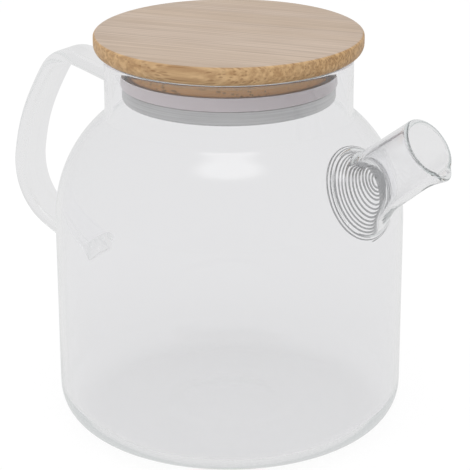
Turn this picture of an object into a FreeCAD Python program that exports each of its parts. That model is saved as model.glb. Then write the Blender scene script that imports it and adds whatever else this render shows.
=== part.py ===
"""Glass teapot with a coiled wire strainer and a bamboo lid.

Frame: origin on the pot's axis at the table, +Z up, spout along +X, handle along -X.
Lengths are millimetres, angles are degrees.
"""
import FreeCAD
import Part
import Sketcher
import math
import os

from FreeCAD import Placement, Rotation, Vector

SIZES = {
    # Pot: a cylinder under a round shoulder and a straight neck.
    "body_radius": 70.0,
    "glass_wall": 2.2,
    "base_thick": 3.2,
    "base_corner": 15.0,
    "base_mark_radius": 23.5,
    "base_mark_depth": 0.6,
    "shoulder_start": 86.0,
    "shoulder_radius": 53.0,
    "neck_radius": 49.2,
    "neck_corner": 3.0,
    "rim_height": 153.0,
    # Spout: a tube on the shoulder, over a flared root that holds the strainer.
    "spout_root_angle": 25.9,
    "spout_rise_angle": 38.6,
    "spout_length": 34.2,
    "spout_root_radius": 12.9,
    "spout_mouth_radius": 12.2,
    "spout_wall": 2.3,
    "beak_radius": 6.0,
    "beak_length": 9.0,
    "beak_pull": 2.4,
    # Strainer: one wire wound into a cone about the wall's normal.
    "strainer_angle": 24.6,
    "wire_diameter": 0.7,
    "coil_big_radius": 18.5,
    "coil_small_radius": 7.2,
    "coil_length": 11.5,
    "coil_turns": 10.5,
    "coil_bow": 0.24,
    "coil_proud": 0.6,
    "coil_clearance": 0.3,
    "coil_close_pitch": 1.45,
    "coil_close_rise": 0.35,
    "coil_tip_radius": 1.4,
    "flare_ease": 0.45,
    # Handle: a flat glass strap from the neck to the body.
    "handle_width": 17.8,
    "handle_thick": 5.8,
    "handle_neck_drop": 19.0,
    "handle_arm_reach": 34.7,
    "handle_arm_rise": 8.4,
    "handle_upper_out": 33.6,
    "handle_upper_height": 108.4,
    "handle_lower_out": 37.1,
    "handle_lower_height": 72.8,
    "handle_foot_height": 56.3,
    "handle_top_bend": 14.5,
    "handle_back_bend": 74.0,
    "handle_low_bend": 25.0,
    # Lid: a turned bamboo disc with a plug, a seal in its groove and a steel cup below.
    "lid_radius": 53.1,
    "lid_thick": 8.0,
    "lid_seat_gap": 0.3,
    "lid_lower_round": 4.0,
    "lid_upper_round": 1.3,
    "plug_radius": 41.6,
    "plug_length": 17.3,
    "groove_depth": 0.8,
    "seal_height": 5.6,
    "seal_proud": 1.2,
    "seal_tip_drop": 1.0,
    "seal_tip_edge": 0.6,
    "seal_clearance": 0.3,
    "cup_thick": 0.6,
    "cup_side": 5.0,
    "cup_corner": 1.2,
}

doc = FreeCAD.newDocument("glass_teapot")


def make_sheet():
    """Put each driving size in a cell under its own name."""
    sheet = doc.addObject("Spreadsheet::Sheet", "dims")
    for row, (name, value) in enumerate(SIZES.items(), start=1):
        sheet.set(f"A{row}", name)
        sheet.set(f"B{row}", str(value))
        sheet.setAlias(f"B{row}", name)
    doc.recompute()
    return sheet


dims = make_sheet()


def size(name):
    return float(dims.get(name))


def expression(text):
    """Name the sheet in front of each size in an expression."""
    words = text
    for name in sorted(SIZES, key=len, reverse=True):
        words = words.replace(name, name.upper())
    for name in SIZES:
        words = words.replace(name.upper(), "dims." + name)
    return words


def value(text):
    return float(dims.evalExpression(expression(text)))


# Profiles in the plane of the spout: each corner is (radius, height, edge to the next corner),
# where an edge is None for a line, or (bend radius, +1 to turn left or -1 to turn right).
def draw_profile(sketch, corners):
    points = [Vector(value(across), value(height), 0) for across, height, edge in corners]
    ends = []
    for index, (across, height, edge) in enumerate(corners):
        start, stop = points[index], points[(index + 1) % len(points)]
        if edge is None:
            sketch.addGeometry(Part.LineSegment(start, stop))
            ends.append((1, 2))
            continue
        radius, turn = value(edge[0]), edge[1]
        chord = stop - start
        side = Vector(-chord.y, chord.x, 0).normalize() * turn
        depth = math.sqrt(max(radius ** 2 - chord.Length ** 2 / 4, 0))
        centre = (start + stop) * 0.5 + side * depth
        first, last = (start, stop) if turn > 0 else (stop, start)
        angles = [math.atan2(p.y - centre.y, p.x - centre.x) for p in (first, last)]
        circle = Part.Circle(centre, Vector(0, 0, 1), radius)
        sketch.addGeometry(Part.ArcOfCircle(circle, angles[0], angles[1]))
        ends.append((1, 2) if turn > 0 else (2, 1))
    tie_profile(sketch, corners, ends)


def tie_profile(sketch, corners, ends):
    """Join the edges and bind every corner and bend to the sheet."""
    count = len(corners)
    for index, (across, height, edge) in enumerate(corners):
        nxt = (index + 1) % count
        sketch.addConstraint(Sketcher.Constraint("Coincident", index, ends[index][1], nxt, ends[nxt][0]))
        corner = (index, ends[index][0])
        if across == "0":
            sketch.addConstraint(Sketcher.Constraint("PointOnObject", *corner, -2))
        else:
            bind(sketch, "DistanceX", corner, across, f"across_{index}")
        if height == "0":
            sketch.addConstraint(Sketcher.Constraint("PointOnObject", *corner, -1))
        else:
            bind(sketch, "DistanceY", corner, height, f"height_{index}")
        if edge is not None:
            bind(sketch, "Radius", (index,), edge[0], f"bend_{index}")


def bind(sketch, kind, where, text, name):
    number = sketch.addConstraint(Sketcher.Constraint(kind, *where, value(text)))
    sketch.renameConstraint(number, name)
    sketch.setExpression("Constraints." + name, expression(text))


def turned_body(name, corners):
    """A solid of revolution about the pot's axis."""
    body = doc.addObject("PartDesign::Body", name)
    sketch = body.newObject("Sketcher::SketchObject", name + "_profile")
    plane = next(item for item in body.Origin.OriginFeatures if item.Role == "XZ_Plane")
    sketch.AttachmentSupport = [(plane, "")]
    sketch.MapMode = "FlatFace"
    draw_profile(sketch, corners)
    turned = body.newObject("PartDesign::Revolution", name + "_turned")
    turned.Profile = sketch
    turned.ReferenceAxis = (sketch, ["V_Axis"])
    turned.Angle = 360
    doc.recompute()
    return body


# Heights and radii that several profiles share.
ARC_CENTRE = "(body_radius - shoulder_radius)"
CORNER_RUN = f"(neck_radius + neck_corner - {ARC_CENTRE})"
CORNER_RISE = f"sqrt((shoulder_radius + neck_corner)^2 - {CORNER_RUN}^2)"
NECK_FOOT = f"shoulder_start + {CORNER_RISE}"
BORE = "neck_radius - glass_wall"
INNER_SHOULDER = "(shoulder_radius - glass_wall)"
INNER_CORNER = "base_corner - glass_wall"


def on_shoulder(radius):
    """The corner where a shoulder arc of this radius runs into the neck's corner."""
    share = f"{radius} / (shoulder_radius + neck_corner)"
    return f"{ARC_CENTRE} + {CORNER_RUN} * {share}", f"shoulder_start + {CORNER_RISE} * {share}"


def make_pot_shell():
    rim_bend = "glass_wall / 2"
    rim_foot = "rim_height - glass_wall / 2"
    return turned_body("pot_shell", [
        ("0", "0", None),
        ("body_radius - base_corner", "0", ("base_corner", 1)),
        ("body_radius", "base_corner", None),
        ("body_radius", "shoulder_start", ("shoulder_radius", 1)),
        (*on_shoulder("shoulder_radius"), ("neck_corner", -1)),
        ("neck_radius", NECK_FOOT, None),
        ("neck_radius", rim_foot, (rim_bend, 1)),
        ("neck_radius - glass_wall / 2", "rim_height", (rim_bend, 1)),
        (BORE, rim_foot, None),
        (BORE, NECK_FOOT, ("neck_corner + glass_wall", 1)),
        (*on_shoulder(INNER_SHOULDER), (INNER_SHOULDER, -1)),
        ("body_radius - glass_wall", "shoulder_start", None),
        ("body_radius - glass_wall", f"base_thick + {INNER_CORNER}", (INNER_CORNER, -1)),
        ("body_radius - base_corner", "base_thick", None),
        ("base_mark_radius", "base_thick", None),
        ("base_mark_radius - base_mark_depth", "base_thick - base_mark_depth", None),
        ("0", "base_thick - base_mark_depth", None),
    ])


def make_pot_hollow():
    """The space inside the pot, which trims what is fused to its wall."""
    return turned_body("pot_hollow", [
        ("0", "base_thick", None),
        ("body_radius - base_corner", "base_thick", (INNER_CORNER, 1)),
        ("body_radius - glass_wall", f"base_thick + {INNER_CORNER}", None),
        ("body_radius - glass_wall", "shoulder_start", (INNER_SHOULDER, 1)),
        (*on_shoulder(INNER_SHOULDER), ("neck_corner + glass_wall", -1)),
        (BORE, NECK_FOOT, None),
        (BORE, "rim_height", None),
        ("0", "rim_height", None),
    ])


def cut(name, base, tool):
    result = doc.addObject("Part::Cut", name)
    result.Base = base
    result.Tool = tool
    return result


def fuse(name, base, tool):
    result = doc.addObject("Part::Fuse", name)
    result.Base = base
    result.Tool = tool
    return result


def shoulder_point(angle):
    """The point on the shoulder's outside whose normal rises at this angle, on the spout's side."""
    return Vector(value(f"{ARC_CENTRE} + shoulder_radius * cos({angle})"), 0,
                  value(f"shoulder_start + shoulder_radius * sin({angle})"))


def tilt(angle):
    """Turn the +Z axis down towards +X until it rises at this angle."""
    return Rotation(Vector(0, 1, 0), 90 - angle)


# The tube's axis leaves the shoulder at ROOT. The strainer lies about the wall's normal at SEAT.
ROOT = shoulder_point("spout_root_angle")
AXIS = tilt(size("spout_rise_angle"))
SEAT = shoulder_point("strainer_angle")
NORMAL = tilt(size("strainer_angle"))
# A quarter turn takes the seams of the spout's cones out of the plane of the pot's own seam.
SEAM_TURN = Rotation(Vector(0, 0, 1), 90)

# The cone of the strainer: its slope, and how far its big end lies inside the wall's outside.
CONE = "((coil_big_radius - coil_small_radius) / coil_length)"
SLANT = f"sqrt(1 + {CONE}^2)"
WALL_DIP = f"({INNER_SHOULDER} - sqrt({INNER_SHOULDER}^2 - coil_big_radius^2))"
WIRE_ROOM = "(wire_diameter / 2 + coil_clearance)"
COIL_DEPTH = f"(glass_wall + {WALL_DIP} + {WIRE_ROOM} + coil_proud)"
COIL_START = -value(COIL_DEPTH)

# The flare is a cone that clears the strainer's waist, cut off well inside the pot and the tube.
FLARE_START = f"({COIL_DEPTH} + coil_length / 2)"
WAIST = "coil_bow / 2 * (coil_big_radius - coil_small_radius)"
CLEAR = f"({WIRE_ROOM} * {SLANT} + flare_ease)"
FLARE_BASE = f"(coil_big_radius - {WAIST} + {CONE} * coil_length / 2 + {CLEAR})"


def make_flare(name, extra, tube_radius):
    """The flared root, with extra glass outside the strainer's cone."""
    flare = doc.addObject("Part::Cone", name)
    base = f"({FLARE_BASE} + {extra} * {SLANT})"
    tip = f"({tube_radius} / 2)"
    flare.setExpression("Radius1", expression(base))
    flare.setExpression("Radius2", expression(tip))
    flare.setExpression("Height", expression(f"({base} - {tip}) / {CONE}"))
    start = SEAT - NORMAL.multVec(Vector(0, 0, value(FLARE_START)))
    flare.Placement = Placement(start, NORMAL.multiply(SEAM_TURN))
    return flare


def make_tube(name, inset, past):
    """The straight tube, from inside the flare to its mouth and a little past it."""
    tube = doc.addObject("Part::Cone", name)
    taper = "(spout_root_radius - spout_mouth_radius) / spout_length"
    sunk = "coil_length / 2"
    tube.setExpression("Radius1", expression(f"spout_root_radius - {inset} + {taper} * {sunk}"))
    tube.setExpression("Radius2", expression(f"spout_mouth_radius - {inset} - {taper} * {past}"))
    tube.setExpression("Height", expression(f"spout_length + {sunk} + {past}"))
    start = ROOT - AXIS.multVec(Vector(0, 0, value(sunk)))
    tube.Placement = Placement(start, AXIS.multiply(SEAM_TURN))
    return tube


def make_beak(name, inset):
    """A narrow round channel that leans out of the tube's underside, towards the pouring lip."""
    beak = doc.addObject("Part::Cylinder", name)
    beak.setExpression("Radius", expression(f"beak_radius - {inset}"))
    beak.setExpression("Height", expression("beak_length + beak_radius"))
    start = Vector(value("spout_mouth_radius - beak_radius"), 0, value("spout_length - beak_length"))
    lean = math.degrees(math.atan(value("beak_pull / beak_length")))
    rise = tilt(size("spout_rise_angle") - lean)
    beak.Placement = Placement(ROOT + AXIS.multVec(start), rise.multiply(SEAM_TURN))
    return beak


def make_lip():
    """The outside of the beak, ended in the plane of the mouth."""
    reach = doc.addObject("Part::Cylinder", "mouth_reach")
    reach.setExpression("Radius", expression("spout_mouth_radius * 2"))
    reach.setExpression("Height", expression("spout_length"))
    reach.Placement = Placement(ROOT, AXIS.multiply(SEAM_TURN))
    lip = doc.addObject("Part::Common", "spout_lip")
    lip.Base = make_beak("beak_outside", "0")
    lip.Tool = reach
    return lip


def make_pot(shell, hollow):
    """The pot and its spout, which meets it in the flare's outside."""
    outside = fuse("root_outside", make_flare("flare_outside", "spout_wall", "spout_root_radius"),
                   make_tube("tube_outside", "0", "0"))
    inside = fuse("root_inside", make_flare("flare_inside", "0", "(spout_root_radius - spout_wall)"),
                  make_tube("tube_inside", "spout_wall", "spout_wall"))
    vessel = cut("vessel", shell, outside)
    bore = fuse("spout_inside", inside, make_beak("beak_inside", "spout_wall"))
    tube = cut("spout_tube", fuse("spout_outside", outside, make_lip()), bore)
    return vessel, cut("spout", tube, hollow)


# A heading this near to its chord, or two points this near to each other, count as the same.
TOLERANCE = 1e-6


def arc_through(start, heading, stop):
    """The arc that leaves start along heading and ends at stop."""
    chord = stop - start
    along = Vector(chord).normalize()
    across = heading - along * heading.dot(along)
    if across.Length < TOLERANCE:
        return Part.LineSegment(start, stop)
    swing = math.acos(max(-1.0, min(1.0, heading.dot(along))))
    bulge = chord.Length / 2 * math.tan(swing / 2)
    middle = (start + stop) * 0.5 + across.normalize() * bulge
    return Part.Arc(start, middle, stop)


def biarc(start, leaving, stop, arriving):
    """Two arcs that meet smoothly between two points with given headings."""
    span = stop - start
    both = leaving + arriving
    spread = 2 * (1 - leaving.dot(arriving))
    reach = (math.sqrt(span.dot(both) ** 2 + spread * span.dot(span)) - span.dot(both)) / spread
    joint = (start + stop + (leaving - arriving) * reach) * 0.5
    heading = Vector(joint - (start + leaving * reach)).normalize()
    return [arc_through(start, leaving, joint), arc_through(joint, heading, stop)]


def coil_drift():
    """How far the tube's axis lies from the strainer's own axis at its small end."""
    back = NORMAL.inverted()
    root = back.multVec(ROOT - SEAT)
    heading = back.multVec(AXIS.multVec(Vector(0, 0, 1)))
    tip = COIL_START + size("coil_length")
    return root.x + heading.x * (tip - root.z) / heading.z


DRIFT = coil_drift()
# The wide turns stay on the strainer's axis, and only the last few move over to the tube's.
DRIFT_POWER = 4
# The cone's turns and then those of the spiral that closes its small end.
ALL_TURNS = value("coil_turns + (coil_small_radius - coil_tip_radius) / coil_close_pitch")
# The wire bends over from the cone into the spiral within about this part of a turn.
BEND_TURNS = 0.35
# A step along the wire, in turns, that is short enough to measure its slope.
SHORT_STEP = 1e-4


def cone_row(turn):
    """Radius, height and drift on the cone: wide and flat at first, then narrow and steep."""
    share = turn / size("coil_turns")
    bow = size("coil_bow") * share * (1 - share)
    narrowing = size("coil_big_radius") - size("coil_small_radius")
    radius = size("coil_big_radius") - narrowing * (share + bow)
    height = COIL_START + size("coil_length") * (share - bow)
    return Vector(radius, height, DRIFT * share ** DRIFT_POWER)


def coil_point(turn):
    """A point of the wire's centre line, on the cone or on the nearly flat spiral at its end."""
    cone_turns = size("coil_turns")
    row = cone_row(min(turn, cone_turns))
    if turn > cone_turns:
        past = turn - cone_turns
        bent = BEND_TURNS * (1 - math.exp(-past / BEND_TURNS))
        slope = (row - cone_row(cone_turns - SHORT_STEP)) * (1 / SHORT_STEP)
        row += slope * bent
        row += Vector(-size("coil_close_pitch"), size("coil_close_rise"), 0) * (past - bent)
    radius, height, drift = row
    angle = 2 * math.pi * turn
    return Vector(radius * math.cos(angle) + drift, radius * math.sin(angle), height)


def coil_heading(turn):
    return Vector(coil_point(turn + SHORT_STEP) - coil_point(turn - SHORT_STEP)).normalize()


def coil_gap():
    """The least gap between two turns of the wire, measured on points along it."""
    steps_per_turn = 48
    steps = int(ALL_TURNS * steps_per_turn)
    points = [coil_point(step / steps_per_turn) for step in range(steps + 1)]
    nearest, farthest = steps_per_turn // 2, steps_per_turn * 3 // 2
    least = min(one.distanceToPoint(two) for index, one in enumerate(points)
                for two in points[index + nearest:index + farthest])
    return least - size("wire_diameter")


def make_strainer():
    """One unbroken wire, in half turns of two arcs each, with a short straight run at each end."""
    wire = size("wire_diameter")
    count = math.ceil(ALL_TURNS * 2)
    step = ALL_TURNS / count
    stops = [index * step for index in range(count + 1)]
    first, last = coil_point(0), coil_point(stops[-1])
    lead_in = first - coil_heading(0) * wire
    edges = [Part.LineSegment(lead_in, first)]
    for one, two in zip(stops, stops[1:]):
        edges += biarc(coil_point(one), coil_heading(one), coil_point(two), coil_heading(two))
    edges.append(Part.LineSegment(last, last + coil_heading(stops[-1]) * wire))
    path = Part.Wire([edge.toShape() for edge in edges])
    section = Part.Wire(Part.Circle(lead_in, coil_heading(0), wire / 2).toShape())
    pipe = Part.BRepOffsetAPI.MakePipeShell(path)
    pipe.add(section)
    pipe.build()
    pipe.makeSolid()
    strainer = doc.addObject("Part::Feature", "strainer_spring")
    strainer.Shape = pipe.shape()
    strainer.Placement = Placement(SEAT, NORMAL)
    swept = math.pi * wire ** 2 / 4 * path.Length
    print(f"strainer: least gap {coil_gap():.2f} mm, volume {strainer.Shape.Volume:.1f} of {swept:.1f} mm3")
    return strainer


def handle_corners():
    """The strap's centre line as corners, from inside the neck's wall to inside the body's wall."""
    body, neck, sunk = size("body_radius"), size("neck_radius"), size("glass_wall") / 2
    start = size("rim_height") - size("handle_neck_drop")
    top = Vector(-(neck + size("handle_arm_reach")), 0, start + size("handle_arm_rise"))
    upper = Vector(-(body + size("handle_upper_out")), 0, size("handle_upper_height"))
    lower = Vector(-(body + size("handle_lower_out")), 0, size("handle_lower_height"))
    foot = Vector(-body, 0, size("handle_foot_height"))
    root = Vector(-neck, 0, start)
    root = root + (root - top).normalize() * sunk
    foot = foot + (foot - lower).normalize() * (sunk + size("handle_thick") / 2)
    return [root, top, upper, lower, foot]


def handle_path():
    """Straight runs and tangent arcs, each arc no larger than its two runs allow."""
    corners = handle_corners()
    share_of_run = 0.5
    bends = [size("handle_top_bend"), size("handle_back_bend"), size("handle_low_bend")]
    runs = [one.distanceToPoint(two) for one, two in zip(corners, corners[1:])]
    edges, here = [], corners[0]
    for index, bend in enumerate(bends, start=1):
        corner = corners[index]
        back = Vector(corners[index - 1] - corner).normalize()
        ahead = Vector(corners[index + 1] - corner).normalize()
        half = math.acos(back.dot(ahead)) / 2
        room = share_of_run * min(runs[index - 1], runs[index])
        reach = min(bend / math.tan(half), room)
        start, stop = corner + back * reach, corner + ahead * reach
        if here.distanceToPoint(start) > TOLERANCE:
            edges.append(Part.LineSegment(here, start))
        edges.append(arc_through(start, back * -1, stop))
        here = stop
    edges.append(Part.LineSegment(here, corners[-1]))
    return Part.Wire([edge.toShape() for edge in edges])


def make_handle(shell, hollow):
    """The strap, trimmed by the pot's wall where it is fused on."""
    path = doc.addObject("Part::Feature", "handle_path")
    path.Shape = handle_path()
    corners = handle_corners()
    along = Vector(corners[1] - corners[0]).normalize()
    across, up = Vector(0, 1, 0), along.cross(Vector(0, 1, 0))
    half_thick = size("handle_thick") / 2
    flat = across * (size("handle_width") / 2 - half_thick)
    rise = up * half_thick
    tip = across * half_thick
    centre = corners[0]
    outline = [
        Part.LineSegment(centre - flat + rise, centre + flat + rise),
        Part.Arc(centre + flat + rise, centre + flat + tip, centre + flat - rise),
        Part.LineSegment(centre + flat - rise, centre - flat - rise),
        Part.Arc(centre - flat - rise, centre - flat - tip, centre - flat + rise),
    ]
    section = doc.addObject("Part::Feature", "handle_section")
    section.Shape = Part.Wire([edge.toShape() for edge in outline])
    strap = doc.addObject("Part::Sweep", "handle_strap")
    strap.Sections = [section]
    strap.Spine = (path, [f"Edge{number + 1}" for number in range(len(path.Shape.Edges))])
    strap.Solid = True
    return cut("handle", cut("handle_outside", strap, shell), hollow)


# Heights in the lid, from the rim down.
LID_SEAT = "(rim_height + lid_seat_gap)"
PLUG_END = f"({LID_SEAT} - plug_length)"
CUP_RIM = f"({PLUG_END} + cup_side)"
SEAL_TOP = f"({CUP_RIM} + seal_height)"
GROOVE = "plug_radius - groove_depth"


def make_lid_disc():
    return turned_body("lid_disc", [
        ("0", PLUG_END, None),
        ("plug_radius", PLUG_END, None),
        ("plug_radius", CUP_RIM, None),
        (GROOVE, CUP_RIM, None),
        (GROOVE, SEAL_TOP, None),
        ("plug_radius", SEAL_TOP, None),
        ("plug_radius", LID_SEAT, None),
        ("lid_radius - lid_lower_round", LID_SEAT, ("lid_lower_round", 1)),
        ("lid_radius", f"{LID_SEAT} + lid_lower_round", None),
        ("lid_radius", f"{LID_SEAT} + lid_thick - lid_upper_round", ("lid_upper_round", 1)),
        ("lid_radius - lid_upper_round", f"{LID_SEAT} + lid_thick", None),
        ("0", f"{LID_SEAT} + lid_thick", None),
    ])


def make_lid_seal():
    """A ring in the plug's groove, with a lip that opens up and out towards the neck."""
    lip_tip = f"{BORE} - seal_clearance"
    return turned_body("lid_seal", [
        (GROOVE, CUP_RIM, None),
        ("plug_radius + seal_proud", CUP_RIM, None),
        ("plug_radius + seal_proud", f"{SEAL_TOP} - seal_proud", None),
        (lip_tip, f"{LID_SEAT} - seal_tip_drop - seal_tip_edge", None),
        (lip_tip, f"{LID_SEAT} - seal_tip_drop", None),
        ("plug_radius", SEAL_TOP, None),
        (GROOVE, SEAL_TOP, None),
    ])


def make_lid_cup():
    """A drawn steel cup over the plug's end."""
    outer = "plug_radius + cup_thick"
    floor = f"{PLUG_END} - cup_thick"
    return turned_body("lid_cup", [
        ("0", floor, None),
        (f"{outer} - cup_corner", floor, ("cup_corner", 1)),
        (outer, f"{floor} + cup_corner", None),
        (outer, CUP_RIM, None),
        ("plug_radius", CUP_RIM, None),
        ("plug_radius", PLUG_END, None),
        ("0", PLUG_END, None),
    ])


def main():
    shell, hollow = make_pot_shell(), make_pot_hollow()
    vessel, spout = make_pot(shell, hollow)
    pieces = [vessel, spout, make_handle(shell, hollow), make_strainer(),
              make_lid_disc(), make_lid_seal(), make_lid_cup()]
    doc.recompute()
    for item in doc.Objects:
        if "Invalid" in item.State or "Error" in item.State:
            raise RuntimeError(f"{item.Label} did not build")
    for piece in pieces:
        if piece.Shape.isNull() or not piece.Shape.isValid() or piece.Shape.Volume <= 0:
            raise RuntimeError(f"{piece.Label} has no valid solid")
    os.makedirs("parts", exist_ok=True)
    for piece in pieces:
        piece.Shape.exportStep(f"parts/{piece.Label}.step")
        print(f"{piece.Label}: {len(piece.Shape.Solids)} solid, {piece.Shape.Volume / 1000:.2f} cm3")


main()
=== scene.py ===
"""Looks for the glass teapot: fused glass pot, wire strainer, and bamboo lid with seal and cup.

Lengths in the tables are millimetres in the part's own frame, and MM takes them to metres.
"""
import math

import bmesh
import bpy
from mathutils import Matrix, Vector

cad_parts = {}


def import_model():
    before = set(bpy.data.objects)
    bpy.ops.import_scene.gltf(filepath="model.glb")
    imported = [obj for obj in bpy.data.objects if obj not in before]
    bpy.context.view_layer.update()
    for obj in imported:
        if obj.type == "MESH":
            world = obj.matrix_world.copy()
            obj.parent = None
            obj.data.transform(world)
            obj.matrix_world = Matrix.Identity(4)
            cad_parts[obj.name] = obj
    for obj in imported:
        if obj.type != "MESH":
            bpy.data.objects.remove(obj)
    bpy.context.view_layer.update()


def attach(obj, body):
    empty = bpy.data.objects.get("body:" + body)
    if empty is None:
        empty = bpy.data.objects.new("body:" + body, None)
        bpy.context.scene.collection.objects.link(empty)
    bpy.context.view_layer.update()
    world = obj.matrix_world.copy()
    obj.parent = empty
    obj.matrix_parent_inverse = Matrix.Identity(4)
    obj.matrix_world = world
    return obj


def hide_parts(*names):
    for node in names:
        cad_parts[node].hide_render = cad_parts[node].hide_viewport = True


MM = 0.001
UP = Vector((0, 0, 1))
SIDE = Vector((0, 1, 0))

# Pot, as in the part's source.
BODY_RADIUS = 70.0
WALL = 2.2
BASE_THICK = 3.2
BASE_CORNER = 15.0
MARK_RADIUS = 23.5
MARK_DEPTH = 0.6
MARK_EASE = 5.0
SHOULDER_START = 86.0
SHOULDER_RADIUS = 53.0
ARC_CENTRE = BODY_RADIUS - SHOULDER_RADIUS
NECK_RADIUS = 49.2
NECK_CORNER = 3.0
RIM = 153.0
POT_STEPS = 120
COLUMN_STEP = 360 / POT_STEPS
# Centre of the round corner between shoulder and neck, and the angle where the shoulder meets it.
CORNER_CENTRE = (NECK_RADIUS + NECK_CORNER, 129.55)
SHOULDER_END = math.degrees(math.atan2(CORNER_CENTRE[1] - SHOULDER_START, CORNER_CENTRE[0] - ARC_CENTRE))

# Spout and the cone that holds the strainer.
ROOT_ANGLE = math.radians(25.9)
RISE_ANGLE = math.radians(38.6)
SPOUT_LENGTH = 34.2
SPOUT_ROOT = 12.9
SPOUT_MOUTH = 12.2
SPOUT_WALL = 2.3
BEAK_RADIUS = 6.0
BEAK_LENGTH = 9.0
BEAK_PULL = 2.4
SEAT_ANGLE = math.radians(24.6)

# Strainer wire.
WIRE = 0.7
COIL_BIG = 18.5
COIL_SMALL = 7.2
COIL_LENGTH = 11.5
COIL_TURNS = 10.5
COIL_BOW = 0.24
COIL_START = -6.94
COIL_DRIFT = -2.34
DRIFT_POWER = 4
CLOSE_PITCH = 1.45
CLOSE_RISE = 0.35
COIL_TIP = 1.4
ALL_TURNS = COIL_TURNS + (COIL_SMALL - COIL_TIP) / CLOSE_PITCH
BEND_TURNS = 0.35
SHORT_STEP = 0.001
POINTS_PER_TURN = 24

# Handle strap.
STRAP_WIDTH = 17.8
STRAP_THICK = 5.8
STRAP_CORNERS = [(-49.2, 134.0), (-83.9, 142.4), (-103.6, 108.4), (-107.1, 72.8), (-70.0, 56.3)]
STRAP_BENDS = [14.5, 74.0, 25.0]

# Lid.
LID_RADIUS = 53.1
LID_SEAT = 153.3
LID_TOP = 161.3
LOWER_ROUND = 4.0
UPPER_ROUND = 1.3
PLUG_RADIUS = 41.6
PLUG_END = 136.0
CUP_RIM = 141.0
CUP_THICK = 0.6
CUP_CORNER = 1.2
LID_STEPS = 128

# Seal: a band in the plug's groove, creased at the cup, and a lip that flares towards the neck's bore.
GROOVE_RADIUS = 40.8
SEAL_TOP = 146.6
BAND_RADIUS = 42.8
CREASE_RADIUS = 42.0
CREASE_TOP = 141.5
LIP_FOOT = 145.4
LIP_RADIUS = 46.7
LIP_LOW = 151.7
LIP_HIGH = 152.3
# The lip has a row after its first quarter, and its clear material starts near there.
LIP_PARTS = 4
CLEAR_FROM = 147.2

# Corners closer than these are merged, after a spin and where the glass is fused.
SPUN_GAP = 0.005
FUSED_GAP = 0.01

# Degrees: edges sharper than the first are bevelled, and faces that meet flatter than the others look smooth.
BEVEL_FROM = 40
LID_SMOOTH = 35
WIRE_SMOOTH = 60


def shoulder_point(angle, radius):
    return Vector((ARC_CENTRE + radius * math.cos(angle), 0, SHOULDER_START + radius * math.sin(angle)))


def rising(angle):
    """Unit vectors along a line that rises at this angle towards the spout, and square to it upwards."""
    along = Vector((math.cos(angle), 0, math.sin(angle)))
    return along, Vector((-math.sin(angle), 0, math.cos(angle)))


SEAT = shoulder_point(SEAT_ANGLE, SHOULDER_RADIUS)
NORMAL, SEAT_UP = rising(SEAT_ANGLE)
ROOT = shoulder_point(ROOT_ANGLE, SHOULDER_RADIUS)
AXIS, TUBE_UP = rising(RISE_ANGLE)


# Mesh helpers.

def deselect():
    if bpy.context.object and bpy.context.object.mode != "OBJECT":
        bpy.ops.object.mode_set(mode="OBJECT")
    bpy.ops.object.select_all(action="DESELECT")


def begin_profile(name, points):
    """A line of edges through these (radius, height) points, left in edit mode."""
    deselect()
    bpy.ops.mesh.primitive_plane_add(size=MM, location=(0, 0, 0))
    piece = bpy.context.object
    piece.name = name
    piece.data.name = name
    bpy.ops.object.mode_set(mode="EDIT")
    bpy.ops.mesh.select_all(action="SELECT")
    bpy.ops.mesh.merge(type="CENTER")
    here = Vector((0, 0, 0))
    for number, (across, height) in enumerate(points):
        there = Vector((across, 0, height)) * MM
        if number == 0:
            bpy.ops.transform.translate(value=there)
        else:
            bpy.ops.mesh.extrude_region_move(TRANSFORM_OT_translate={"value": there - here})
        here = there
    return piece


def spin_round(steps):
    """Spin the whole profile about the pot's axis into a closed skin."""
    bpy.ops.mesh.select_all(action="SELECT")
    bpy.ops.mesh.spin(steps=steps, angle=2 * math.pi, center=(0, 0, 0), axis=(0, 0, 1))
    bpy.ops.mesh.select_all(action="SELECT")
    bpy.ops.mesh.remove_doubles(threshold=SPUN_GAP * MM)
    bpy.ops.mesh.normals_make_consistent(inside=False)


def close_profile():
    """Join the last corner of a profile to its first one."""
    bpy.ops.mesh.select_all(action="SELECT")
    mesh = bmesh.from_edit_mesh(bpy.context.object.data)
    for corner in mesh.verts:
        corner.select_set(len(corner.link_edges) == 1)
    mesh.select_flush_mode()
    bmesh.update_edit_mesh(bpy.context.object.data)
    bpy.ops.mesh.edge_face_add()


def apply_modifiers(piece):
    deselect()
    piece.select_set(True)
    bpy.context.view_layer.objects.active = piece
    for name in [modifier.name for modifier in piece.modifiers]:
        bpy.ops.object.modifier_apply(modifier=name)


def smooth(piece, angle=None):
    deselect()
    piece.select_set(True)
    bpy.context.view_layer.objects.active = piece
    if angle is None:
        bpy.ops.object.shade_smooth()
    else:
        bpy.ops.object.shade_smooth_by_angle(angle=math.radians(angle))


def arc(centre, radius, start, stop, steps):
    """Points on an arc in the profile plane, angles in degrees."""
    found = []
    for number in range(steps + 1):
        angle = math.radians(start + (stop - start) * number / steps)
        found.append((centre[0] + radius * math.cos(angle), centre[1] + radius * math.sin(angle)))
    return found


def along(start, stop, steps):
    """Points after start up to stop on a straight run of a profile."""
    return [(start[0] + (stop[0] - start[0]) * number / steps,
             start[1] + (stop[1] - start[1]) * number / steps) for number in range(1, steps + 1)]


# Glass pot: one closed skin, spun, opened for the spout and the strap, and drawn out ring by ring.

SEAT_ROWS = 6
ROW_STEP = 3.7
SEAT_COLUMNS = 7
NECK_COLUMNS = 4
NECK_ROWS = (129.7, 138.3)
FOOT_COLUMNS = 3
FOOT_ROWS = (50.0, 62.6)
ROW_ROOM = 1
MARK_STEPS = 5

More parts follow.
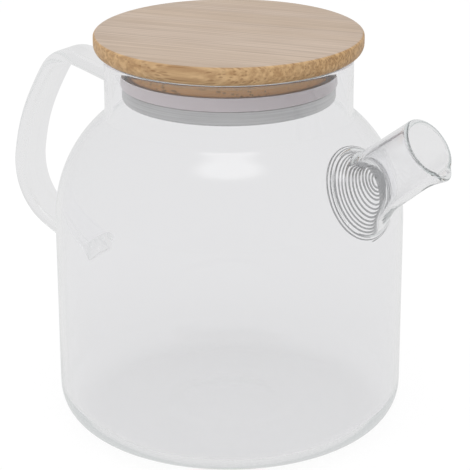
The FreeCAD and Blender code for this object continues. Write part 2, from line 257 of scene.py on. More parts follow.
# The spout's rings: radius and lift off the shoulder, then radius, shift, depth and lean about the seat,
# then distances from the root along the tube, over the rim and back inside.
FUSE_OUT = ((21.3, 0), (20.0, 0.1), (18.6, 0.6))
FLARE_OUT = ((16.6, 0.4, -0.9, 0.3), (14.7, 0.9, 0.9, 0.9))
TUBE_OUT = (4.9, 8, 14, 20, 24, 26.5, 28.5, 30.5, 32, 33)
RIM_STEPS = 8
TUBE_IN = (33, 31.5, 29.5, 27.5, 25, 20, 14, 8, 4.6)
FLARE_IN = ((11.6, 0.7, 0.3, 0.9), (13.2, 0.2, -1.5, 0.2), (14.9, 0, -3.2, 0), (16.2, 0, -4.55, 0))
FUSE_IN = ((17.3, 0.12), (18.6, 0), (20.6, 0))
SEAT_REACH = 45

# The strap's rings where it is fused to the glass: how much wider they are, and how far off the wall.
NECK_FUSE = ((1.0, 0.12), (0.4, 0.6), (0.05, 1.7))
FOOT_FUSE = ((0.05, 2.0), (0.5, 0.7), (1.1, 0.12))
BEND_STEP = 14
LEAST_BEND_STEPS = 3
LONG_EDGES = 8


def shoulder_angles():
    """Row angles on the shoulder, in degrees, with whole rows above and below the strainer's seat."""
    seat = math.degrees(SEAT_ANGLE)
    rows = [seat + ROW_STEP * number for number in range(-SEAT_ROWS, SEAT_ROWS + 1)]
    return [0.0] + rows + [SHOULDER_END]


def shoulder_rows(radius):
    found = []
    for angle in shoulder_angles():
        turn = math.radians(angle)
        found.append((ARC_CENTRE + radius * math.cos(turn), SHOULDER_START + radius * math.sin(turn)))
    return found


def neck_corner(radius, steps):
    """The round corner between shoulder and neck, from its shoulder end."""
    return arc(CORNER_CENTRE, radius, SHOULDER_END + 180, 180, steps)[1:]


def pot_profile():
    """Outside from the base's centre to the rim, and inside back to the axis. Runs end with their steps."""
    base_edge = BODY_RADIUS - BASE_CORNER
    foot_low, foot_high = FOOT_ROWS
    neck_low, neck_high = NECK_ROWS
    inner = BODY_RADIUS - WALL
    bore = NECK_RADIUS - WALL
    inner_corner = BASE_CORNER - WALL
    floor = BASE_THICK - MARK_DEPTH
    half = WALL / 2
    points = [(0, 0)] + along((0, 0), (base_edge, 0), 8)
    points += arc((base_edge, BASE_CORNER), BASE_CORNER, -90, 0, 8)[1:]
    points += along((BODY_RADIUS, BASE_CORNER), (BODY_RADIUS, foot_low), 7)
    points += along((BODY_RADIUS, foot_low), (BODY_RADIUS, foot_high), 6)
    points += along((BODY_RADIUS, foot_high), (BODY_RADIUS, SHOULDER_START), 5)[:-1]
    points += shoulder_rows(SHOULDER_RADIUS)
    points += neck_corner(NECK_CORNER, 3)[:-1]
    points.append((NECK_RADIUS, neck_low))
    points += along((NECK_RADIUS, neck_low), (NECK_RADIUS, neck_high), 4)
    points += along((NECK_RADIUS, neck_high), (NECK_RADIUS, RIM - half), 4)
    points += arc((NECK_RADIUS - half, RIM - half), half, 0, 180, 6)[1:]
    points += along((bore, RIM - half), (bore, neck_low), 6)
    points += list(reversed(neck_corner(NECK_CORNER + WALL, 3)[:-1]))
    points += list(reversed(shoulder_rows(SHOULDER_RADIUS - WALL)))
    points += along((inner, SHOULDER_START), (inner, BASE_CORNER), 12)
    points += list(reversed(arc((base_edge, BASE_THICK + inner_corner), inner_corner, -90, 0, 8)))[1:]
    points += along((base_edge, BASE_THICK), (MARK_RADIUS + MARK_EASE, BASE_THICK), 6)
    for step in range(1, MARK_STEPS + 1):
        share = step / MARK_STEPS
        drop = MARK_DEPTH * share * share * (3 - 2 * share)
        points.append((MARK_RADIUS + MARK_EASE * (1 - 2 * share), BASE_THICK - drop))
    points += along((MARK_RADIUS - MARK_EASE, floor), (0, floor), 4)
    return points


def open_patch(choose):
    """Delete the faces whose middles are chosen."""
    mesh = bmesh.from_edit_mesh(bpy.context.object.data)
    bpy.ops.mesh.select_all(action="DESELECT")
    for face in mesh.faces:
        face.select_set(choose(face.calc_center_median() / MM))
    bmesh.update_edit_mesh(bpy.context.object.data)
    bpy.ops.mesh.delete(type="FACE")


def select_hole(choose):
    """Select the open edges whose middles are chosen."""
    mesh = bmesh.from_edit_mesh(bpy.context.object.data)
    bpy.ops.mesh.select_all(action="DESELECT")
    for edge in mesh.edges:
        middle = (edge.verts[0].co + edge.verts[1].co) / 2 / MM
        if edge.is_boundary and choose(middle):
            edge.select_set(True)
    bmesh.update_edit_mesh(bpy.context.object.data)


def ring_corners(mesh, centre, first, second):
    """The selected corners in turn round a ring, from the first direction towards the second."""
    tiny = 1e-4

    def turn(corner):
        offset = corner.co / MM - centre
        return (math.atan2(offset.dot(second), offset.dot(first)) + tiny) % (2 * math.pi)

    return sorted((corner for corner in mesh.verts if corner.select), key=turn)


def hole_places(centre, first, second):
    mesh = bmesh.from_edit_mesh(bpy.context.object.data)
    return [corner.co / MM for corner in ring_corners(mesh, centre, first, second)]


def grow_ring(centre, first, second, place):
    """Extrude the selected ring and put each new corner where place(index, count) says."""
    bpy.ops.mesh.extrude_edges_indiv()
    mesh = bmesh.from_edit_mesh(bpy.context.object.data)
    corners = ring_corners(mesh, centre, first, second)
    for index, corner in enumerate(corners):
        corner.co = place(index, len(corners)) * MM
    bmesh.update_edit_mesh(bpy.context.object.data)


def to_shoulder(point, radius):
    """The nearest point on a shoulder surface of this radius."""
    for _ in range(3):
        across = math.hypot(point.x, point.y)
        run, rise = across - ARC_CENTRE, point.z - SHOULDER_START
        reach = math.hypot(run, rise)
        out = Vector((point.x / across * run, point.y / across * run, rise)) / reach
        point = point - out * (reach - radius)
    return point


def seat_ring(radius, shift, depth, lean):
    """Places on a ring about the strainer's axis: depth along it, moved up by shift and leaning."""
    def place(index, count):
        turn = 2 * math.pi * index / count
        flat = SEAT_UP * (radius * math.cos(turn) + shift) + SIDE * (radius * math.sin(turn))
        return SEAT + flat + NORMAL * (depth - lean * math.cos(turn))
    return place


def shell_ring(radius, surface):
    """Places on a ring about the strainer's axis that lies on the shoulder."""
    flat = seat_ring(radius, 0, 0, 0)

    def place(index, count):
        return to_shoulder(flat(index, count), surface)
    return place


def beak_reach(turn, radius, pull, beak):
    """How far the mouth's outline reaches at this turn from the top, with its pouring beak."""
    swing = turn - math.pi
    centre = radius - beak + pull
    inside = beak ** 2 - (centre * math.sin(swing)) ** 2
    if math.cos(swing) <= 0 or inside <= 0:
        return radius
    lip = centre * math.cos(swing) + math.sqrt(inside)
    return max(radius, lip)


def tube_ring(distance, inset):
    """Places on a ring round the spout's tube at this distance from its root."""
    share = distance / SPOUT_LENGTH
    radius = SPOUT_ROOT + (SPOUT_MOUTH - SPOUT_ROOT) * share - inset
    start = SPOUT_LENGTH - BEAK_LENGTH
    pull = BEAK_PULL * max(0.0, distance - start) / BEAK_LENGTH

    def place(index, count):
        turn = 2 * math.pi * index / count
        reach = beak_reach(turn, radius, pull, BEAK_RADIUS - inset) if pull > 0 else radius
        flat = TUBE_UP * math.cos(turn) + SIDE * math.sin(turn)
        return ROOT + AXIS * distance + flat * reach
    return place


def draw_spout():
    """Outside from the shoulder to the mouth, over the rim, and back through the bore."""
    def reach(point):
        return math.hypot(math.hypot(point.x, point.y) - ARC_CENTRE, point.z - SHOULDER_START)

    def near_seat(point):
        run = math.hypot(point.x, point.y) - ARC_CENTRE
        row = math.degrees(math.atan2(point.z - SHOULDER_START, run) - SEAT_ANGLE) / ROW_STEP
        column = math.degrees(math.atan2(point.y, point.x)) / COLUMN_STEP
        return abs(row) < SEAT_ROWS and abs(column) < SEAT_COLUMNS

    def round_seat(point):
        return (point - SEAT).length < SEAT_REACH

    middle = SHOULDER_RADIUS - WALL / 2
    inner = SHOULDER_RADIUS - WALL
    half = SPOUT_WALL / 2
    open_patch(near_seat)
    select_hole(lambda point: round_seat(point) and reach(point) < middle)
    inner_hole = hole_places(SEAT, SEAT_UP, SIDE)
    select_hole(lambda point: round_seat(point) and reach(point) > middle)
    rings = [shell_ring(radius, SHOULDER_RADIUS + lift) for radius, lift in FUSE_OUT]
    rings += [seat_ring(*row) for row in FLARE_OUT]
    rings += [tube_ring(distance, 0) for distance in TUBE_OUT]
    for step in range(1, RIM_STEPS):
        turn = math.pi * step / RIM_STEPS
        rings.append(tube_ring(SPOUT_LENGTH - half + half * math.sin(turn), half - half * math.cos(turn)))
    rings += [tube_ring(distance, SPOUT_WALL) for distance in TUBE_IN]
    rings += [seat_ring(*row) for row in FLARE_IN]
    rings += [shell_ring(radius, inner + lift) for radius, lift in FUSE_IN]
    for place in rings:
        grow_ring(SEAT, SEAT_UP, SIDE, place)
    grow_ring(SEAT, SEAT_UP, SIDE, lambda index, count: inner_hole[index])


def strap_corners():
    return [Vector((across, 0, height)) for across, height in STRAP_CORNERS]


def strap_line():
    """Places and headings round the strap's bends, with a straight run between two bends."""
    corners = strap_corners()
    runs = [(two - one).length for one, two in zip(corners, corners[1:])]
    line = []
    for index, bend in enumerate(STRAP_BENDS, start=1):
        corner = corners[index]
        back = (corners[index - 1] - corner).normalized()
        ahead = (corners[index + 1] - corner).normalized()
        half = math.acos(back.dot(ahead)) / 2
        reach = min(bend / math.tan(half), min(runs[index - 1], runs[index]) / 2)
        radius = reach * math.tan(half)
        centre = corner + (back + ahead).normalized() * (radius / math.sin(half))
        swing = math.pi - 2 * half
        start = corner + back * reach - centre
        steps = max(LEAST_BEND_STEPS, round(math.degrees(swing) / BEND_STEP))
        for step in range(steps + 1):
            turn = Matrix.Rotation(-swing * step / steps, 3, "Y")
            line.append((centre + turn @ start, turn @ -back))
    return line


def strap_outline(count, grow):
    """Corner offsets (outwards, sideways) of the strap's rounded section, from the middle of its outside."""
    half = STRAP_THICK / 2
    flat = STRAP_WIDTH / 2 - half
    short_edges = (count - 2 * LONG_EDGES) // 2
    offsets = []
    for number in range(LONG_EDGES // 2):
        offsets.append((half, flat * number / (LONG_EDGES / 2)))
    for number in range(short_edges + 1):
        turn = math.pi * number / short_edges
        offsets.append((half * math.cos(turn), flat + half * math.sin(turn)))
    for number in range(1, LONG_EDGES):
        offsets.append((-half, flat - 2 * flat * number / LONG_EDGES))
    for number in range(short_edges + 1):
        turn = math.pi * number / short_edges
        offsets.append((-half * math.cos(turn), -flat - half * math.sin(turn)))
    for number in range(1, LONG_EDGES // 2):
        offsets.append((half, -flat + flat * number / (LONG_EDGES / 2)))
    share = (half + grow) / half
    wide = (STRAP_WIDTH / 2 + grow) / (STRAP_WIDTH / 2)
    return [(up * share, across * wide) for up, across in offsets]


def outward(heading):
    """Square to the strap's heading, away from the loop it makes."""
    return Vector((heading.z, 0, -heading.x))


def strap_ring(centre, heading, grow):
    def place(index, count):
        out, across = strap_outline(count, grow)[index]
        return centre + outward(heading) * out + SIDE * across
    return place


def wall_ring(centre, heading, grow, radius):
    """A strap ring slid along its heading until it lies this far from the pot's axis."""
    flat = strap_ring(centre, heading, grow)

    def place(index, count):
        point = flat(index, count)
        a = heading.x ** 2 + heading.y ** 2
        b = point.x * heading.x + point.y * heading.y
        c = point.x ** 2 + point.y ** 2 - radius ** 2
        root = math.sqrt(max(b * b - a * c, 0))
        slides = [(-b - root) / a, (-b + root) / a]
        return point + heading * min(slides, key=abs)
    return place


def draw_strap():
    """From the hole in the neck, round the strap and back into the hole in the body."""
    corners = strap_corners()
    root, foot = corners[0], corners[-1]
    top_heading = (corners[1] - root).normalized()
    foot_heading = (foot - corners[-2]).normalized()

    def in_patch(point, columns, rows, radius):
        column = math.degrees(math.atan2(point.y, -point.x)) / COLUMN_STEP
        outside = math.hypot(point.x, point.y) > radius - WALL / 2
        return abs(column) < columns and rows[0] < point.z < rows[1] and outside

    def round_rows(rows):
        return lambda point: point.x < 0 and rows[0] - ROW_ROOM < point.z < rows[1] + ROW_ROOM

    open_patch(lambda point: in_patch(point, NECK_COLUMNS, NECK_ROWS, NECK_RADIUS)
               or in_patch(point, FOOT_COLUMNS, FOOT_ROWS, BODY_RADIUS))
    select_hole(round_rows(FOOT_ROWS))
    foot_hole = hole_places(foot, outward(foot_heading), SIDE)
    select_hole(round_rows(NECK_ROWS))
    rings = [(root, top_heading, wall_ring(root, top_heading, grow, NECK_RADIUS + lift))
             for grow, lift in NECK_FUSE]
    rings += [(centre, heading, strap_ring(centre, heading, 0)) for centre, heading in strap_line()]
    rings += [(foot, foot_heading, wall_ring(foot, foot_heading, grow, BODY_RADIUS + lift))
              for grow, lift in FOOT_FUSE]
    last = rings[0]
    for centre, heading, place in rings:
        grow_ring(last[0], outward(last[1]), SIDE, place)
        last = (centre, heading)
    grow_ring(foot, outward(foot_heading), SIDE, lambda index, count: foot_hole[index])


def make_glass_pot():
    piece = begin_profile("glass_pot", pot_profile())
    spin_round(POT_STEPS)
    draw_spout()
    draw_strap()
    bpy.ops.mesh.select_all(action="SELECT")
    bpy.ops.mesh.remove_doubles(threshold=FUSED_GAP * MM)
    bpy.ops.mesh.normals_make_consistent(inside=False)
    bpy.ops.object.mode_set(mode="OBJECT")
    finer = piece.modifiers.new("finer", "SUBSURF")
    finer.levels = 1
    finer.render_levels = 1
    apply_modifiers(piece)
    smooth(piece)
    return piece


# Strainer: one round wire wound into a cone.

def cone_row(turn):
    """Radius, height and drift on the cone."""
    share = turn / COIL_TURNS
    bow = COIL_BOW * share * (1 - share)
    radius = COIL_BIG - (COIL_BIG - COIL_SMALL) * (share + bow)
    height = COIL_START + COIL_LENGTH * (share - bow)
    return Vector((radius, height, COIL_DRIFT * share ** DRIFT_POWER))


def coil_place(turn):
    """A point of the wire, on the cone or on the nearly flat spiral that closes its small end."""
    row = cone_row(min(turn, COIL_TURNS))
    past = turn - COIL_TURNS
    if past > 0:
        bent = BEND_TURNS * (1 - math.exp(-past / BEND_TURNS))
        slope = (row - cone_row(COIL_TURNS - SHORT_STEP)) / SHORT_STEP
        row += slope * bent + Vector((-CLOSE_PITCH, CLOSE_RISE, 0)) * (past - bent)
    radius, height, drift = row
    angle = 2 * math.pi * turn
    local_x = radius * math.cos(angle) + drift
    return SEAT - SEAT_UP * local_x + SIDE * (radius * math.sin(angle)) + NORMAL * height


def make_strainer():
    count = round(ALL_TURNS * POINTS_PER_TURN)
    deselect()
    bpy.ops.curve.primitive_nurbs_path_add(location=(0, 0, 0))
    piece = bpy.context.object
    piece.name = "strainer_wire"
    line = piece.data.splines[0]
    line.points.add(count + 1 - len(line.points))
    for number, point in enumerate(line.points):
        place = coil_place(number / POINTS_PER_TURN) * MM
        point.co = (*place, 1)
    line.order_u = 4
    line.use_endpoint_u = True
    line.resolution_u = 2
    piece.data.bevel_depth = WIRE / 2 * MM
    piece.data.bevel_resolution = 3
    piece.data.use_fill_caps = True
    bpy.ops.object.convert(target="MESH")
    piece = bpy.context.object
    piece.data.name = "strainer_wire"
    smooth(piece, WIRE_SMOOTH)
    return piece


# Lid.

def bevelled(piece, width, segments):
    bpy.ops.object.mode_set(mode="OBJECT")
    edge = piece.modifiers.new("edges", "BEVEL")
    edge.width = width * MM
    edge.segments = segments
    edge.limit_method = "ANGLE"
    edge.angle_limit = math.radians(BEVEL_FROM)
    apply_modifiers(piece)
    smooth(piece, LID_SMOOTH)
    return piece


def make_lid_board():
    points = [(0, PLUG_END), (PLUG_RADIUS, PLUG_END), (PLUG_RADIUS, CUP_RIM), (GROOVE_RADIUS, CUP_RIM),
              (GROOVE_RADIUS, SEAL_TOP), (PLUG_RADIUS, SEAL_TOP), (PLUG_RADIUS, LID_SEAT)]
    points += arc((LID_RADIUS - LOWER_ROUND, LID_SEAT + LOWER_ROUND), LOWER_ROUND, -90, 0, 8)
    points += arc((LID_RADIUS - UPPER_ROUND, LID_TOP - UPPER_ROUND), UPPER_ROUND, 0, 90, 6)
    points += along((LID_RADIUS - UPPER_ROUND, LID_TOP), (0, LID_TOP), 5)
    piece = begin_profile("lid_board", points)
    spin_round(LID_STEPS)
    return bevelled(piece, 0.2, 2)


def make_seal_ring():
    foot, tip = (BAND_RADIUS, LIP_FOOT), (LIP_RADIUS, LIP_LOW)
    points = [(GROOVE_RADIUS, CUP_RIM), (CREASE_RADIUS, CUP_RIM), (BAND_RADIUS, CREASE_TOP), foot,
              along(foot, tip, LIP_PARTS)[0], tip, (LIP_RADIUS, LIP_HIGH),
              (PLUG_RADIUS, SEAL_TOP), (GROOVE_RADIUS, SEAL_TOP)]
    piece = begin_profile("seal_ring", points)
    close_profile()
    spin_round(LID_STEPS)
    return bevelled(piece, 0.22, 3)


def make_steel_cup():
    outer = PLUG_RADIUS + CUP_THICK
    floor = PLUG_END - CUP_THICK
    flat = outer - CUP_CORNER
    points = [(0, floor)] + along((0, floor), (flat, floor), 4)
    points += arc((flat, floor + CUP_CORNER), CUP_CORNER, -90, 0, 6)[1:]
    points += [(outer, CUP_RIM), (PLUG_RADIUS, CUP_RIM), (PLUG_RADIUS, PLUG_END), (0, PLUG_END)]
    piece = begin_profile("steel_cup", points)
    spin_round(LID_STEPS)
    return bevelled(piece, 0.15, 2)


# Materials.

class Wire:
    """An output socket. Arithmetic on it adds Math nodes."""

    def __init__(self, shader, socket):
        self.shader = shader
        self.socket = socket

    def maths(self, operation, *values):
        sockets = dict(enumerate(values))
        return self.shader.node("Math", {"operation": operation}, sockets)

    def __add__(self, other):
        return self.maths("ADD", self, other)

    def __sub__(self, other):
        return self.maths("SUBTRACT", self, other)

    def __mul__(self, other):
        return self.maths("MULTIPLY", self, other)

    def __truediv__(self, other):
        return self.maths("DIVIDE", self, other)

    def __rsub__(self, other):
        return self.maths("SUBTRACT", other, self)

    __radd__ = __add__
    __rmul__ = __mul__

    def floor(self):
        return self.maths("FLOOR", self)

    def larger(self, other):
        return self.maths("MAXIMUM", self, other)

    def between(self, low, high):
        """0 below low, 1 above high, and a smooth step from one to the other."""
        settings = {"interpolation_type": "SMOOTHSTEP"}
        return self.shader.node("MapRange", settings, {"Value": self, "From Min": low, "From Max": high})


class Shader:
    """A node tree, with one method that adds any node."""

    def __init__(self, owner):
        owner.use_nodes = True
        self.owner = owner
        self.tree = owner.node_tree
        self.tree.nodes.clear()

    def node(self, kind, settings, sockets, out=0):
        made = self.tree.nodes.new("ShaderNode" + kind)
        for name, setting in settings.items():
            setattr(made, name, setting)
        for name, given in sockets.items():
            if isinstance(given, Wire):
                self.tree.links.new(given.socket, made.inputs[name])
            else:
                made.inputs[name].default_value = given
        return Wire(self, made.outputs[out])

    def blend(self, share, one, two):
        """One colour at share 0 and the other at share 1."""
        return self.node("Mix", {"data_type": "RGBA"}, {0: share, 6: one, 7: two}, 2)

    def stretch(self, vector, scale):
        return self.node("VectorMath", {"operation": "MULTIPLY"}, {0: vector, 1: scale})

    def part(self, vector, axis):
        return self.node("SeparateXYZ", {}, {0: vector}, axis)

    def bump(self, height, distance, strength):
        return self.node("Bump", {}, {"Strength": strength, "Distance": distance, "Height": height})

    def surface(self, shader):
        kind = "World" if isinstance(self.owner, bpy.types.World) else "Material"
        made = self.tree.nodes.new("ShaderNodeOutput" + kind)
        self.tree.links.new(shader.socket, made.inputs["Surface"])


def new_shader(name):
    return Shader(bpy.data.materials.new(name))


# Glass: a ray mirrored more often than this inside the wall goes straight on, instead of ending black.
MIRRORED_OFTEN = 3.5
GLASS_TINT = (0.983, 0.983, 0.99, 1)
OPEN_TINT = (0.93, 0.94, 0.94, 1)


def clear_glass():
    shade = new_shader("clear_glass")
    place = shade.node("TexCoord", {}, {}, "Object")
    waves = shade.node("TexNoise", {}, {"Vector": place, "Scale": 22.0, "Detail": 1.0})
    glass = shade.node("BsdfPrincipled", {}, {
        "Base Color": GLASS_TINT, "Roughness": 0.0, "IOR": 1.47, "Transmission Weight": 1.0,
        "Normal": shade.bump(waves, 0.0006, 0.25)})
    lamps = shade.node("LightPath", {}, {}, "Is Shadow Ray")
    mirrored = shade.node("LightPath", {}, {}, "Glossy Depth")
    trapped = shade.node("Math", {"operation": "GREATER_THAN"}, {0: mirrored, 1: MIRRORED_OFTEN})
    open_way = shade.node("BsdfTransparent", {}, {"Color": OPEN_TINT})
    shade.surface(shade.node("MixShader", {}, {0: lamps.larger(trapped), 1: glass, 2: open_way}))
    return shade.owner


WIRE_DARK = (0.37, 0.375, 0.38, 1)
WIRE_PALE = (0.55, 0.555, 0.56, 1)


def polished_wire():
    shade = new_shader("polished_wire")
    place = shade.node("TexCoord", {}, {}, "Object")
    marks = shade.node("TexNoise", {}, {"Vector": place, "Scale": 900.0, "Detail": 2.0})
    colour = shade.blend(marks, WIRE_DARK, WIRE_PALE)
    steel = shade.node("BsdfPrincipled", {}, {
        "Base Color": colour, "Metallic": 1.0, "Roughness": 0.12 + marks * 0.12})
    shade.surface(steel)
    return shade.owner


# Bamboo: glued strips, finer streaks and dark fibre ends. The plug below the board is painted brighter and
# redder, as painted light against the shade the board casts on it.
GRAIN_TURN = math.radians(-16.0)
STRIP = 0.0072
STRIP_SHARE = 0.3
STRIP_TONE = (0.48, 0.35, 0.23, 1)
EDGE_DARK = (0.40, 0.22, 0.085, 1)
EDGE_PALE = (0.66, 0.43, 0.21, 1)
TOP_DARK = (0.43, 0.33, 0.253, 1)
TOP_PALE = (0.59, 0.475, 0.385, 1)
PLUG_PAINTED_LIGHT_SHARE = 0.9
PLUG_PAINTED_LIGHT_FADE = 0.4
PLUG_PAINTED_LIGHT_TONE = (1.0, 0.575, 0.22, 1)
FIBRE_SHARE = 0.5
FIBRE_LESS_ON_TOP = 0.36
FIBRE_TONE = (0.20, 0.09, 0.028, 1)


def bamboo():
    shade = new_shader("bamboo")
    place = shade.node("TexCoord", {}, {}, "Object")
    grain = shade.node("Mapping", {}, {"Vector": place, "Rotation": (0, 0, GRAIN_TURN)})
    across = shade.part(grain, 1)
    strip = (across / STRIP).floor()
    strip_tone = shade.node("TexWhiteNoise", {"noise_dimensions": "1D"}, {"W": strip})
    streaks = shade.node("TexNoise", {}, {"Vector": shade.stretch(grain, (14, 900, 520)), "Scale": 1.0,
                                          "Detail": 3.0, "Roughness": 0.6})
    cells = shade.stretch(grain, (36, 1500, 950))
    bundles = shade.node("TexVoronoi", {"feature": "F1"}, {"Vector": cells, "Scale": 1.0}, "Distance")
    chosen = shade.node("TexVoronoi", {"feature": "F1"}, {"Vector": cells, "Scale": 1.0}, "Color")
    picked = shade.part(chosen, 0).between(0.3, 0.5)
    fibres = (1 - bundles.between(0.2, 0.5)) * picked
    facing = shade.part(shade.node("NewGeometry", {}, {}, "Normal"), 2)
    top = facing.between(0.75, 0.97)
    spread = streaks.between(0.3, 0.7)
    edge_colour = shade.blend(spread, EDGE_DARK, EDGE_PALE)
    top_colour = shade.blend(spread, TOP_DARK, TOP_PALE)
    toned = shade.blend(strip_tone * STRIP_SHARE, shade.blend(top, edge_colour, top_colour), STRIP_TONE)
    # Painted light: below the board's seat the plug is painted a brighter orange, to make up for the board's
    # shade on it.
    plug = 1 - shade.part(place, 2).between((LID_SEAT - PLUG_PAINTED_LIGHT_FADE) * MM, LID_SEAT * MM)
    toned = shade.blend(plug * PLUG_PAINTED_LIGHT_SHARE, toned, PLUG_PAINTED_LIGHT_TONE)
    dark = fibres * (FIBRE_SHARE - top * FIBRE_LESS_ON_TOP)
    colour = shade.blend(dark, toned, FIBRE_TONE)
    wood = shade.node("BsdfPrincipled", {}, {
        "Base Color": colour, "Roughness": 0.44 + streaks * 0.14, "Specular IOR Level": 0.4,
        "Normal": shade.bump(streaks - fibres * 0.5, 0.00012, 0.35)})
    shade.surface(wood)
    return shade.owner


# Silicone: the heights between which the lip turns from its foot's alpha to its tip's.
FADE_FROM = 150.1
FADE_TO = 151.8
PALER = 1.06
LILAC = (0.98, 0.885, 0.915)
CLEAR_WHITE = (1.0, 0.99, 1.0)


def silicone(name, colour, rough, solid, solid_tip):
    """The alpha runs from solid at the foot to solid_tip at the tip."""
    shade = new_shader(name)
    place = shade.node("TexCoord", {}, {}, "Object")
    near_tip = shade.part(place, 2).between(FADE_FROM * MM, FADE_TO * MM)
    cloud = shade.node("TexNoise", {}, {"Vector": place, "Scale": 60.0, "Detail": 2.0})
    pale = tuple(min(1.0, part * PALER) for part in colour)
    gum = shade.node("BsdfPrincipled", {}, {
        "Base Color": shade.blend(cloud, (*colour, 1), (*pale, 1)), "Roughness": rough + cloud * 0.08,
        "IOR": 1.41, "Alpha": near_tip * (solid_tip - solid) + solid,
        "Normal": shade.bump(cloud, 0.0002, 0.1)})
    shade.surface(gum)
    return shade.owner


STEEL_DARK = (0.44, 0.44, 0.44, 1)
STEEL_PALE = (0.66, 0.66, 0.66, 1)
LINES_UP = 2600
LINES_ROUND = 16


def brushed_steel():
    """Fine lines that run round the cup."""
    shade = new_shader("brushed_steel")
    place = shade.node("TexCoord", {}, {}, "Object")
    flat = shade.stretch(place, (1, 1, 0))
    reach = shade.node("VectorMath", {"operation": "LENGTH"}, {0: flat}, "Value")
    level = (reach + shade.part(place, 2)) * LINES_UP
    lines_at = shade.node("CombineXYZ", {}, {"X": shade.part(place, 0) * LINES_ROUND,
                                             "Y": shade.part(place, 1) * LINES_ROUND, "Z": level})
    lines = shade.node("TexNoise", {}, {"Vector": lines_at, "Scale": 1.0, "Detail": 3.0})
    patches = shade.node("TexNoise", {}, {"Vector": place, "Scale": 26.0, "Detail": 1.0})
    tone = (lines * 0.6 + patches * 0.4).between(0.3, 0.7)
    colour = shade.blend(tone, STEEL_DARK, STEEL_PALE)
    steel = shade.node("BsdfPrincipled", {}, {
        "Base Color": colour, "Metallic": 1.0, "Roughness": 0.26 + lines * 0.16,
        "Normal": shade.bump(lines, 0.00004, 0.4)})
    shade.surface(steel)
    return shade.owner


def paint(piece, *materials):
    piece.data.materials.clear()
    for material in materials:
        piece.data.materials.append(material)


# Studio. The camera's place is in millimetres, the lamps and cards are in metres.

CAMERA_TURN = 0.620276
CAMERA_REACH = 767.69
CAMERA_HEIGHT = 361.73
CAMERA_PITCH = 0.355607
CAMERA_ROLL = -0.0039985
FOCAL_PIXELS = 2020.96
FRAME_PIXELS = 470
CENTRE_OFF = (-5.541, -0.796)
TOWARDS = Vector((math.sin(CAMERA_TURN), -math.cos(CAMERA_TURN), 0))


def make_camera():
    lens = bpy.data.cameras.new("camera")
    lens.sensor_width = 36
    lens.lens = FOCAL_PIXELS / FRAME_PIXELS * lens.sensor_width
    lens.shift_x = -CENTRE_OFF[0] / FRAME_PIXELS
    lens.shift_y = CENTRE_OFF[1] / FRAME_PIXELS
    lens.clip_start = 0.05
    lens.clip_end = 20
    camera = bpy.data.objects.new("camera", lens)
    bpy.context.scene.collection.objects.link(camera)
    camera.location = (TOWARDS * CAMERA_REACH + UP * CAMERA_HEIGHT) * MM
    stand = Matrix.Rotation(CAMERA_TURN, 4, "Z") @ Matrix.Rotation(math.pi / 2 - CAMERA_PITCH, 4, "X")
    camera.rotation_euler = (stand @ Matrix.Rotation(CAMERA_ROLL, 4, "Z")).to_euler()
    bpy.context.scene.camera = camera


def aimed(place, aim):
    """The turn that points a lamp or a card at its aim."""
    return (Vector(aim) - Vector(place)).to_track_quat("-Z", "Y").to_euler()


def make_lamp(name, place, aim, size, power):
    light = bpy.data.lights.new(name, "AREA")
    light.shape = "RECTANGLE"
    light.size, light.size_y = size
    light.energy = power
    lamp = bpy.data.objects.new(name, light)
    bpy.context.scene.collection.objects.link(lamp)
    lamp.location = place
    lamp.rotation_euler = aimed(place, aim)
    return lamp


# Where the softbox starts to fade and where it ends, as shares of its size from its middle.
FADE_START = 0.22
FADE_END = 0.5


def make_softbox(name, place, aim, size, glow):
    """A card that fades towards its edges, so that glass shows a soft patch of light."""
    deselect()
    bpy.ops.mesh.primitive_plane_add(size=1, location=(0, 0, 0))
    card = bpy.context.object
    card.name = name
    card.scale = (*size, 1)
    card.location = place
    card.rotation_euler = aimed(place, aim)
    card.visible_camera = False
    card.visible_shadow = False
    shade = new_shader(name)
    spot = shade.node("TexCoord", {}, {}, "Object")
    reach = shade.node("VectorMath", {"operation": "LENGTH"}, {0: spot}, "Value")
    light = shade.node("Emission", {}, {"Color": (1, 1, 1, 1), "Strength": glow})
    clear = shade.node("BsdfTransparent", {}, {"Color": (1, 1, 1, 1)})
    lit = 1 - reach.between(FADE_START, FADE_END)
    shade.surface(shade.node("MixShader", {}, {0: lit, 1: clear, 2: light}))
    paint(card, shade.owner)


def make_lamps():
    right = Vector((-TOWARDS.y, TOWARDS.x, 0))
    make_softbox("top_softbox", TOWARDS * 0.42 + UP * 1.12, TOWARDS * 0.41, (1.0, 0.56), 2.0)
    for name, place, size, power in (("key", TOWARDS * 0.5 + UP * 1.3, (1.0, 0.6), 4.0),
                                     ("fill", right * -1.2 + TOWARDS * 0.6 + UP * 0.7, (0.8, 0.9), 3.0)):
        lamp = make_lamp(name, place, UP * 0.1, size, power)
        lamp.visible_glossy = False
        lamp.visible_transmission = False


# How bright the surroundings are: as light on the pieces, and as seen through glass. The floor is white to
# the camera, and keeps a part of the shadow that falls on it.
AMBIENT = 0.76
SEEN_THROUGH = 0.765
FLOOR_WHITE = 1.045
FLOOR_THROUGH = 0.805
FLOOR_GREY = (0.82, 0.82, 0.82, 1)
CAMERA_GLOW = 0.88
GLASS_GLOW = 0.8
FLOOR_SIZE = 6
FLOOR_DROP = 0.0004


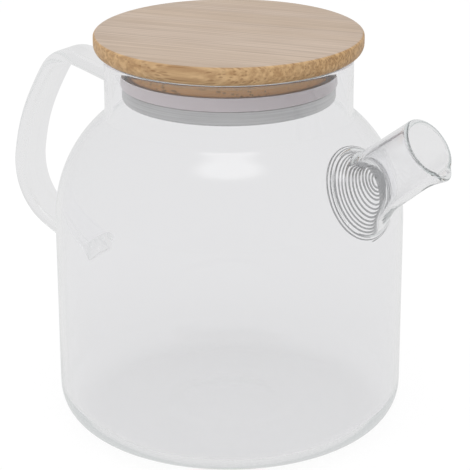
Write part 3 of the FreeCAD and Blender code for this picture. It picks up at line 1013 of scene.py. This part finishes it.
def light_rays(shade):
    """Whether a ray comes straight from the camera, and whether it comes from glass or a shiny surface."""
    path = shade.tree.nodes.new("ShaderNodeLightPath")
    camera = Wire(shade, path.outputs["Is Camera Ray"])
    glossy = Wire(shade, path.outputs["Is Glossy Ray"])
    through = Wire(shade, path.outputs["Is Transmission Ray"])
    return camera, glossy.larger(through)


def make_world():
    world = bpy.data.worlds.new("studio")
    bpy.context.scene.world = world
    shade = Shader(world)
    camera, glass = light_rays(shade)
    strength = AMBIENT + camera * (1 - AMBIENT) + glass * (SEEN_THROUGH - AMBIENT)
    shade.surface(shade.node("Background", {}, {"Color": (1, 1, 1, 1), "Strength": strength}))


def make_floor():
    deselect()
    bpy.ops.mesh.primitive_plane_add(size=FLOOR_SIZE, location=(0, 0, -FLOOR_DROP))
    floor = bpy.context.object
    floor.name = "floor"
    shade = new_shader("white_floor")
    camera, glass = light_rays(shade)
    board = shade.node("BsdfDiffuse", {}, {"Color": FLOOR_GREY})
    strength = FLOOR_WHITE - glass * (FLOOR_WHITE - FLOOR_THROUGH)
    glow = shade.node("Emission", {}, {"Color": (1, 1, 1, 1), "Strength": strength})
    glowing = camera * CAMERA_GLOW + glass * GLASS_GLOW
    shade.surface(shade.node("MixShader", {}, {0: glowing, 1: board, 2: glow}))
    paint(floor, shade.owner)


def main():
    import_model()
    bpy.context.scene.view_settings.view_transform = "Standard"
    make_camera()
    make_lamps()
    make_world()
    make_floor()

    pot = make_glass_pot()
    paint(pot, clear_glass())
    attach(pot, "pot")
    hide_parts("vessel", "spout", "handle")

    strainer = make_strainer()
    paint(strainer, polished_wire())
    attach(strainer, "strainer")
    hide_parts("strainer_spring")

    board = make_lid_board()
    paint(board, bamboo())
    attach(board, "lid")
    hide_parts("lid_disc")

    seal = make_seal_ring()
    paint(seal, silicone("silicone_band", LILAC, rough=0.22, solid=0.92, solid_tip=0.92),
          silicone("silicone_lip", CLEAR_WHITE, rough=0.12, solid=0.05, solid_tip=0.2))
    for face in seal.data.polygons:
        face.material_index = 1 if face.center.z > CLEAR_FROM * MM else 0
    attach(seal, "lid")
    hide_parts("lid_seal")

    cup = make_steel_cup()
    paint(cup, brushed_steel())
    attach(cup, "lid")
    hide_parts("lid_cup")

    deselect()


main()
